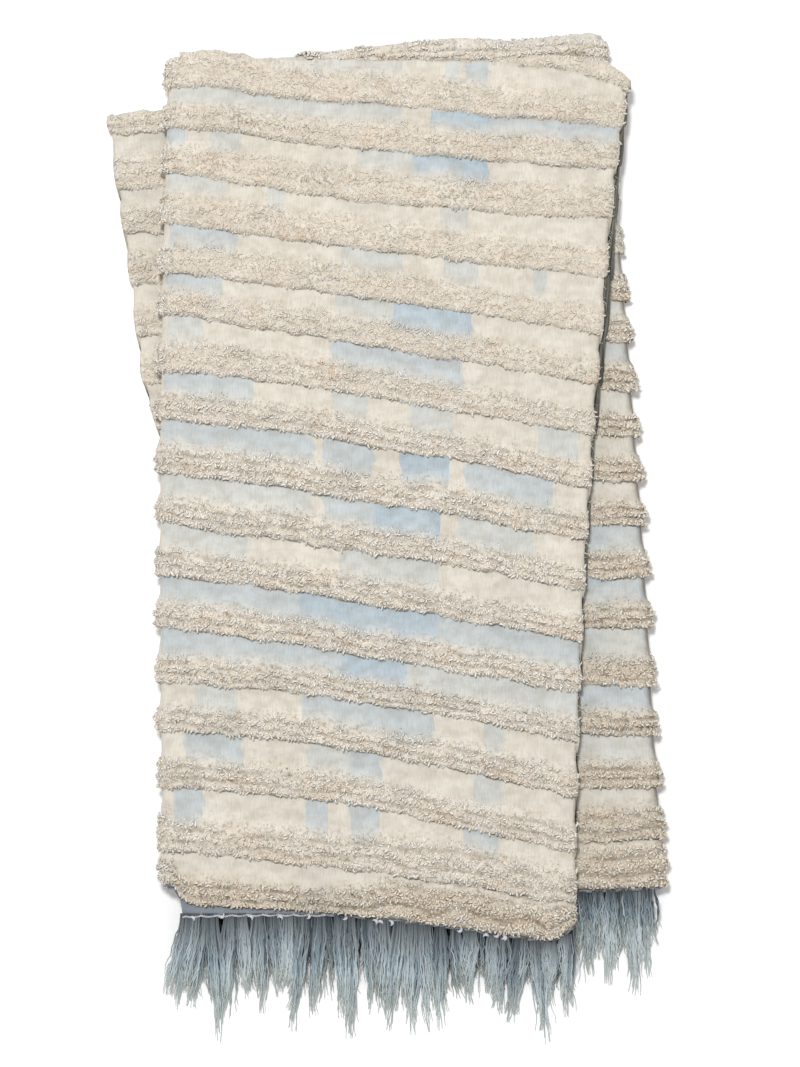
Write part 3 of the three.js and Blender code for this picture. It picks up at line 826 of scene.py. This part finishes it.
def build_heading(layer):
    regions, shares = cloth_columns()
    across, x, *_ = middle(regions, shares, END)
    outs = (heading_length(across) + scallop_at(x), PART_GAP + 0 * x)
    outs = outs[::-1] if layer else outs
    face, back = [
        np.stack([end_place(layer, regions, shares, out, reach) for out in outs])
        for reach in (HALF, BACK_GAP / 2)
    ]
    return mesh_object(f"fringe_heading_{layer + 1}", *closed_sheet(face, back, [0, 1], [0, 1]))


def end_down(across):
    slip = between(across, np.maximum(SLIP, 0))
    return down_at(across, END) + slip + heading_length(across)


def lock_places(layer):
    """Where the locks of one end hang, as in the solids: region, share, across and order in height."""
    places = []
    edges = (edge_x(0, END), centre_ab(END), centre_bc(END), edge_x(3, END))
    for panel, (region, orders) in enumerate(((A, (5, 4)), (B, (2, 3)), (C, (1, 0)))):
        count = round(abs(edges[panel + 1] - edges[panel]) / LOCK_PITCH) - layer
        for i in range(count):
            share = (i + 0.5) / count
            share = min(share, LAST_LOCK) if region == A else share
            places.append((region, share, panel + share, orders[layer]))
    return places


def rest_height(region, across, x, order, distance):
    """How high a lock lies on those under it, and lower where panel A's reach past them."""
    step = mix(LOCK_HEIGHT, LOCK_HEIGHT_END, clamp(distance / LOCK_LENGTH)) + LOCK_CLEARANCE
    if region != A:
        return step * order
    share_b = share_from(centre_ab(END), centre_bc(END), x)
    lead = end_down(across) - end_down(1 + share_b)
    past = clamp((distance + lead - UNDER_REACH) / UNDER_DROP)
    return step * (order - UNDER_LAYERS * past)


def lock_habit(layer, region, share, rng):
    """How one lock hangs: its lean, how far its bundles part, how soon, and how far its root moves."""
    lean, spread, opened, moved = rng.normal(0, LOCK_LEAN), 1.0, 3.0, rng.normal(0, ROOT_STRAY)
    if region == A and share > LAST_LOCKS:
        lean, spread, opened = (0.0, 0.7, 1.0) if layer else (-15.0, 1.8, 1.0)
    if region == B and share > OPEN_LOCKS:
        lean, spread, opened = 5.0 * smooth((share - 0.88) / 0.08), 1.2, 1.2
    if region == A and share < FIRST_LOCKS:
        lean = 3.0
    if (region == B and share < TUCKED_B) or (region == C and share > TUCKED_C):
        lean, moved = TUCKED_LEAN, moved + TUCKED_BY
    return lean, spread, opened, moved


def lock_length_of(layer, region, share, rng):
    """Panel A's locks grow longer towards fold AB, and one of panel B's is far longer."""
    full = LOCK_LENGTH if region == A else LOCK_LENGTH_UNDER
    usual = full * (mix(1.02, 1.38, share) if region == A else OPEN_LENGTH)
    length = usual * mix(*LOCK_LENGTHS, rng.uniform(0, 1) ** 1.2)
    if layer == 1:
        length = usual * rng.uniform(*LOCK_LENGTHS_UNDER)
    elif region == A and share > LAST_LOCKS:
        length = usual * 0.86
    if region == B and LONG_LOCK[0] < share < LONG_LOCK[1]:
        length = full * LONG_LOCK_LENGTH
    return length


def lock_strands(layer, region, share, across, order, rng):
    """The strands of one lock: their paths, a radius at each ring, and how light each one is."""
    shown = region == A or (region == B and share > SHOWN_LOCKS)
    root = end_place(layer, region, share, heading_length(across) * 0.75, HALF - 1.0)
    start = ORIGIN[1] - end_down(across)
    lean, spread, opened, moved = lock_habit(layer, region, share, rng)
    root[0] += moved
    t = np.linspace(0, 1, STRAND_RINGS)
    paths, radii, tones = [], [], []
    lock_tone = rng.normal(0.78 if region == B else 0.54, 0.1)
    lock_length = lock_length_of(layer, region, share, rng)
    longest = rng.integers(0, BUNDLES)
    for bundle in range(BUNDLES):
        beside = (bundle - (BUNDLES - 1) / 2) * BUNDLE_PITCH * spread + rng.normal(0, BUNDLE_STRAY)
        length = lock_length * (1.0 if bundle == longest else rng.uniform(*BUNDLE_LENGTHS))
        phase, turns = rng.uniform(0, 2 * math.pi), rng.uniform(1.2, 2.4)
        drift = lean - beside * 0.35 + rng.normal(0, BUNDLE_DRIFT)
        tone = lock_tone + rng.normal(0, 0.16)
        lift = rng.uniform(0, 1.4)
        for _ in range(STRANDS_SHOWN[layer] if shown else STRANDS_HIDDEN):
            spot = rng.uniform(-1, 1)
            depth = rng.uniform(0, 1)
            distance = length * (1 - 0.34 * rng.uniform(0, 1) ** 2) * t
            wide = mix(*BUNDLE_WIDE, smooth(t * 3)) * mix(1, 0.7, smooth((t - 0.45) / 0.55))
            stray = rng.normal(0, STRAND_STRAY) * t**3
            sway = drift * t**1.3 + SWAY * np.sin(phase + 2 * math.pi * turns * t) * t
            frizz = FRIZZ * np.sin(rng.uniform(0, 6.3) + t * rng.uniform(18, 34)) * smooth(t * 3)
            x = root[0] + beside * mix(0.7, 1, smooth(t * opened)) + sway + spot * wide + frizz + stray
            y = mix(root[1], start, clamp(t * 6)) - distance
            low = rest_height(region, across, root[0] - ORIGIN[0], order, distance) + 0.6
            round_by = BULGE * math.sqrt(1 - spot**2) * depth * np.sin(math.pi * clamp(t + 0.1))
            z = mix(root[2] + depth, low, smooth(distance / LOCK_FALL)) + round_by + lift * smooth(t * 3)
            thick = rng.uniform(*STRAND_RADII) * mix(1, 0.35, smooth((t - 0.6) / 0.4))
            paths.append(np.stack([x, y, np.maximum(z, thick + 0.05)], -1))
            radii.append(thick)
            # Painted shade: strands lying higher in a bundle are painted lighter, lower ones darker
            tones.append(tone + 0.85 * (depth - 0.5) + rng.normal(0, 0.16))
    return paths, radii, tones


def strand_rings(paths, radii, corners=3):
    path = np.array(paths)
    ahead = unit(np.gradient(path, axis=1))
    beside = unit(np.cross(ahead, (0.0, 0.0, 1.0)))
    return tube_rings(path, np.array(radii), beside, np.cross(beside, ahead), corners)


def build_fringe(layer):
    rng = np.random.default_rng(SEED + 20 + layer)
    locks = [lock_strands(layer, *lock, rng) for lock in lock_places(layer)]
    paths, radii, tones = [sum(parts, []) for parts in zip(*locks)]
    made = tubes_object(f"fringe_strands_{layer + 1}", strand_rings(paths, radii))
    # Painted shade: the second layer's strands, lying under the first, are painted darker
    give(made, "tone", np.repeat(clamp(np.array(tones) - 0.55 * layer), STRAND_RINGS * 3))
    give(made, "tip", np.tile(np.repeat(np.linspace(0, 1, STRAND_RINGS), 3), len(paths)))
    return made


def build_twist():
    """The white twisted yarn along the first layer's heading, and the small knots beside it."""
    rng = np.random.default_rng(SEED + 40)
    share = np.linspace(HEADING_ENDS - 0.001, TWIST_TO, TWIST_POINTS)
    x = middle(A, share, END)[1]
    line = end_place(0, A, share, heading_length(share) + scallop_at(x) - 0.6, HALF + 0.6)
    turn = np.arange(TWIST_POINTS) * TWIST_TURN
    plies = []
    for start in (0, math.pi):
        path = line.copy()
        path[:, 1] += TWIST_RADIUS * np.cos(turn + start)
        path[:, 2] += TWIST_RADIUS * np.sin(turn + start)
        plies.append(path)
    thick = np.full((2, TWIST_POINTS), TWIST_YARN)
    twist = tubes_object("heading_twist", strand_rings(plies, thick, 4))
    places = np.concatenate([np.linspace(*KNOT_PLACES), rng.uniform(0.05, 0.6, LOOSE_KNOTS)])
    at = end_place(0, A, places, heading_length(places) + 0.8, HALF + 1.0)
    t = np.linspace(-1, 1, len(KNOT_PROFILE))
    knots = []
    for spot in at:
        lie = rng.uniform(0, math.pi)
        step = np.stack([np.cos(lie + 0.8 * t) * t, np.sin(lie + 0.8 * t) * t, 0.2 * np.cos(3 * t)], -1)
        knots.append(spot + KNOT_SIZE * step)
    ties = tubes_object("heading_knots", strand_rings(knots, [KNOT_PROFILE] * len(knots), 5))
    return [twist, ties]


def build_frays():
    """Short yarn ends along selvedge A."""
    rng = np.random.default_rng(SEED + 50)
    band = rng.uniform(0.3, BANDS - 0.1, FRAYS)
    base, _, _ = place(A, 0.001, band, 1, FRAY_DEPTH)
    t = np.linspace(0, 1, FRAY_RINGS)[None, :]
    length = rng.uniform(*FRAY_LENGTHS, (FRAYS, 1))
    angle = rng.normal(-0.5, 0.8, (FRAYS, 1))
    bend = rng.normal(0, 0.8, (FRAYS, 1))
    x = base[:, :1] + length * t * np.cos(angle + bend * t) - 0.8
    y = base[:, 1:2] + length * t * np.sin(angle + bend * t)
    z = base[:, 2:] + rng.uniform(-0.5, 0.9, (FRAYS, 1)) - 1.2 * t**2
    thick = rng.uniform(*FRAY_RADII, (FRAYS, 1)) * (1 - 0.5 * t)
    made = tubes_object("selvedge_frays", strand_rings(np.stack([x, y, z], -1), thick))
    points = FRAY_RINGS * 3
    give(made, "tone", np.repeat(rng.uniform(0.3, 0.9, FRAYS), points))
    for name, value in (("blue", 0.0), ("rough", 0.0), ("top", 1.0)):
        give(made, name, np.full(FRAYS * points, value))
    return made


# Materials
def shade(code):
    """A colour from a grey level or from a hexadecimal code."""
    if not isinstance(code, str):
        return (code, code, code, 1.0)
    parts = [int(code[i : i + 2], 16) / 255 for i in (0, 2, 4)]
    return tuple(p / 12.92 if p <= 0.04045 else ((p + 0.055) / 1.055) ** 2.4 for p in parts) + (1.0,)


def set_inputs(node, values):
    for name, value in values.items():
        node.inputs[name].default_value = value


class Nodes:
    """A small helper that adds nodes to one material and links them."""

    def __init__(self, name):
        self.material = bpy.data.materials.new(name)
        self.material.use_nodes = True
        self.tree = self.material.node_tree
        self.shader = self.tree.nodes["Principled BSDF"]

    def add(self, kind, **settings):
        node = self.tree.nodes.new(kind)
        for key, value in settings.items():
            setattr(node, key, value)
        return node

    def put(self, socket, value):
        if isinstance(value, bpy.types.NodeSocket):
            self.tree.links.new(value, socket)
        else:
            socket.default_value = value

    def place(self):
        return self.add("ShaderNodeTexCoord").outputs["Object"]

    def attribute(self, name, output="Fac"):
        return self.add("ShaderNodeAttribute", attribute_name=name).outputs[output]

    def part(self, name, factor, more=None):
        """A share of an attribute, with a number added to it where one is given."""
        scaled = self.maths("MULTIPLY", self.attribute(name), factor)
        return scaled if more is None else self.maths("ADD", more, scaled)

    def noise(self, vector, scale, detail=2.0, roughness=0.5):
        """Noise with one scale, or with one along each axis."""
        node = self.add("ShaderNodeTexNoise")
        if isinstance(scale, tuple):
            stretch = self.add("ShaderNodeMapping")
            stretch.inputs["Scale"].default_value = scale
            self.put(stretch.inputs["Vector"], vector)
            vector, scale = stretch.outputs["Vector"], 1.0
        set_inputs(node, {"Scale": scale, "Detail": detail, "Roughness": roughness})
        self.put(node.inputs["Vector"], vector)
        return node.outputs["Fac"]

    def ramp(self, value, *stops):
        """A colour ramp with stops of a position and a grey level or a code."""
        node = self.add("ShaderNodeValToRGB")
        elements = node.color_ramp.elements
        while len(elements) < len(stops):
            elements.new(0.5)
        for element, (position, code) in zip(elements, stops):
            element.position = position
            element.color = shade(code)
        self.put(node.inputs["Fac"], value)
        return node.outputs["Color"]

    def blend(self, factor, first, second, kind="MIX"):
        node = self.add("ShaderNodeMix", data_type="RGBA", blend_type=kind)
        for name, value in (("Factor", factor), ("A", first), ("B", second)):
            self.put(node.inputs[name], shade(value) if isinstance(value, str) else value)
        return node.outputs["Result"]

    def times(self, colour, other, share=1.0):
        return self.blend(share, colour, other, "MULTIPLY")

    def maths(self, operation, first, second):
        node = self.add("ShaderNodeMath", operation=operation)
        self.put(node.inputs[0], first)
        self.put(node.inputs[1], second)
        return node.outputs[0]

    def finish(self, colour, bump, strength, roughness, sheen):
        self.put(self.shader.inputs["Base Color"], colour)
        set_inputs(self.shader, {
            "Roughness": roughness,
            "Specular IOR Level": 0.15,
            "Sheen Weight": sheen,
            "Sheen Roughness": 0.6,
        })
        node = self.add("ShaderNodeBump")
        set_inputs(node, {"Strength": strength, "Distance": BUMP_DISTANCE})
        self.put(node.inputs["Height"], bump)
        self.put(self.shader.inputs["Normal"], node.outputs["Normal"])
        return self.material


def painted_gap_shade(n, colour, share, more):
    """Painted shade: small dark gaps between the loops, more of them where the pile is worn."""
    gap_shade = n.ramp(n.noise(n.place(), 310.0, 3.0, 0.62), (0.35, "B3AA9D"), (0.49, 1.0))
    return n.times(colour, gap_shade, n.part("rough", share, more))


def browned_shade(n):
    """Painted shade: the most worn pile, on panel B, is painted browner and a little darker."""
    return n.ramp(n.attribute("rough"), (0.7, 1.0), (0.92, "F2EEE8"))


def woven_material():
    n = Nodes("woven_cloth")
    weave = n.attribute("weave", "Vector")
    streaks = n.noise(weave, (700, 110, 1), 3.0, 0.6)
    slubs = n.noise(weave, (60, 900, 1))
    broad = n.noise(weave, (22, 30, 1))
    patches = n.noise(weave, (75, 110, 1))
    cream = n.ramp(broad, (0.3, "D1CBBF"), (0.7, "DCD7CB"))
    tint = n.ramp(broad, (0.3, "ACBAC2"), (0.7, "B8C4CB"))
    ragged = n.maths("MULTIPLY", n.noise(weave, (70, 800, 1)), 0.5)
    reach = n.maths("ADD", n.attribute("covered"), ragged)
    covered = n.ramp(n.maths("SUBTRACT", reach, 0.25), (0.4, 0.0), (0.6, 1.0))
    ground = n.blend(n.part("blue", covered), cream, tint)
    pile = n.ramp(broad, (0.3, "D6CCBD"), (0.7, "E0D7C9"))
    pile = n.blend(n.attribute("rough"), pile, "E5DDD0")
    pile = painted_gap_shade(n, n.times(pile, browned_shade(n)), 0.7, 0.3)
    # Painted shade in the grooves between the rows of loops
    pile = n.blend(n.part("groove_shade", 0.75), pile, "7A6D5C")
    colour = n.blend(n.attribute("pile"), ground, pile)
    # Painted shade under the bands' lower edges and on fold BC's side
    colour = n.blend(n.attribute("crease_shade"), colour, "6B6257")
    # Painted shadow: dark streaked grey where the back attribute is set
    shaded = n.ramp(n.noise(weave, (500, 25, 1), 3.0), (0.35, "3A3935"), (0.65, "7D7C72"))
    colour = n.blend(n.attribute("back"), colour, shaded)
    colour = n.times(colour, n.ramp(streaks, (0.32, 0.88), (0.6, 1.0)))
    colour = n.times(colour, n.ramp(patches, (0.35, "F1EFEC"), (0.6, 1.0)))
    colour = n.times(colour, n.ramp(slubs, (0.35, 0.9), (0.6, 1.0)), 0.22)
    height = n.maths("ADD", streaks, n.maths("MULTIPLY", slubs, 0.35))
    return n.finish(colour, height, 0.3, 0.92, 0.1)


def loop_material():
    n = Nodes("loop_pile")
    fuzz = n.noise(n.place(), 1100.0)
    tone = n.ramp(n.attribute("tone"), (0.0, "DED6C9"), (0.5, "F5EFE5"), (1.0, "FFFCF6"))
    peach = n.ramp(n.noise(n.place(), (30, 55, 30)), (0.54, 1.0), (0.75, "F9EADD"))
    cool = n.ramp(n.noise(n.place(), 26.0), (0.5, 1.0), (0.7, "E3E7E8"))
    worn = n.blend(n.attribute("rough"), "E2DED7", "FFFFFF")
    colour = tone
    for layer in (peach, worn, browned_shade(n), cool):
        colour = n.times(colour, layer)
    colour = n.blend(n.part("blue", 0.6), colour, "C2CED6")
    # Painted shade: the loops are painted darker at their roots, where they go into the cloth, more so
    # where the pile is worn
    new_root_shade = n.ramp(n.attribute("top"), (0.0, 0.92), (0.8, 1.0))
    worn_root_shade = n.ramp(n.attribute("top"), (0.0, "9C9284"), (0.8, 1.0))
    colour = n.times(colour, n.blend(n.attribute("rough"), new_root_shade, worn_root_shade))
    colour = painted_gap_shade(n, colour, 0.5, 0.2)
    set_inputs(n.shader, {
        "Subsurface Weight": 0.7,
        "Subsurface Radius": (1.0, 0.9, 0.8),
        "Subsurface Scale": 0.0018,
    })
    return n.finish(colour, fuzz, 0.25, 0.95, 0.2)


def fringe_material():
    n = Nodes("fringe_yarn")
    fibres = n.noise(n.place(), (1800, 160, 1800))
    tone = n.ramp(n.attribute("tone"), (0.0, "465863"), (0.5, "8FA4AF"), (1.0, "CBD7DC"))
    # Painted shade: the strands are painted much darker near their roots, under the heading and between
    # the locks
    tone = n.times(tone, n.ramp(n.attribute("tip"), (0.0, 0.15), (0.2, 0.5), (0.5, 1.0)))
    tips = n.blend(n.ramp(n.attribute("tip"), (0.5, 0.0), (1.0, 0.85)), tone, "D0D5CE")
    colour = n.times(tips, n.ramp(fibres, (0.3, 0.75), (0.6, 1.0)), 0.6)
    return n.finish(colour, fibres, 0.4, 0.85, 0.3)


def plain_material(name, code):
    n = Nodes(name)
    grain = n.noise(n.place(), (900, 500, 900))
    return n.finish(n.times(n.ramp(grain, (0.35, 0.8), (0.65, 1.0)), code), grain, 0.3, 0.9, 0.1)


# The stage
def add_floor():
    bpy.ops.mesh.primitive_plane_add(size=FLOOR_SIZE, location=(0, 0, -FLOOR_DOWN))
    floor = bpy.context.object
    floor.name = "floor"
    n = Nodes("floor")
    set_inputs(n.shader, {"Base Color": shade(0.98), "Roughness": 1.0, "Specular IOR Level": 0.0})
    floor.data.materials.append(n.material)


def add_camera():
    camera = bpy.data.cameras.new("camera")
    x, y, height = CAMERA_AT
    camera.sensor_width = SENSOR
    camera.lens = SENSOR * (height - TOP_HEIGHT) / FRAME_HEIGHT
    made = add_object("camera", camera)
    made.location = (x * MM, y * MM, height * MM)
    bpy.context.scene.camera = made


def set_light():
    world = bpy.data.worlds.new("world")
    world.use_nodes = True
    background = world.node_tree.nodes["Background"]
    set_inputs(background, {"Color": shade(1.0), "Strength": WORLD_LIGHT})
    bpy.context.scene.world = world
    lamp = bpy.data.lights.new("key", "AREA")
    lamp.shape = "SQUARE"
    lamp.size = LAMP_SIZE
    lamp.energy = LAMP_POWER
    made = add_object("key", lamp)
    made.location = LAMP_AT
    made.rotation_euler = (-Vector(LAMP_AT)).to_track_quat("-Z", "Y").to_euler()
    bpy.context.scene.view_settings.view_transform = "Standard"


add_camera()
set_light()
add_floor()

cloth = build_cloth()
pile = build_pile()
frays = build_frays()
headings = [build_heading(0), build_heading(1)]
strands = [build_fringe(0), build_fringe(1)]
trims = build_twist()

looks = [
    ([cloth], woven_material()),
    ([*pile, frays], loop_material()),
    (headings, plain_material("heading_weave", "868D95")),
    (strands, fringe_material()),
    (trims, plain_material("heading_twist", "D4D5DA")),
]
for pieces, look in looks:
    for piece in pieces:
        piece.data.materials.append(look)
        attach(piece, ROOT)

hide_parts("throw_cloth")
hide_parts("fringe_upper_end")
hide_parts("fringe_under_end")
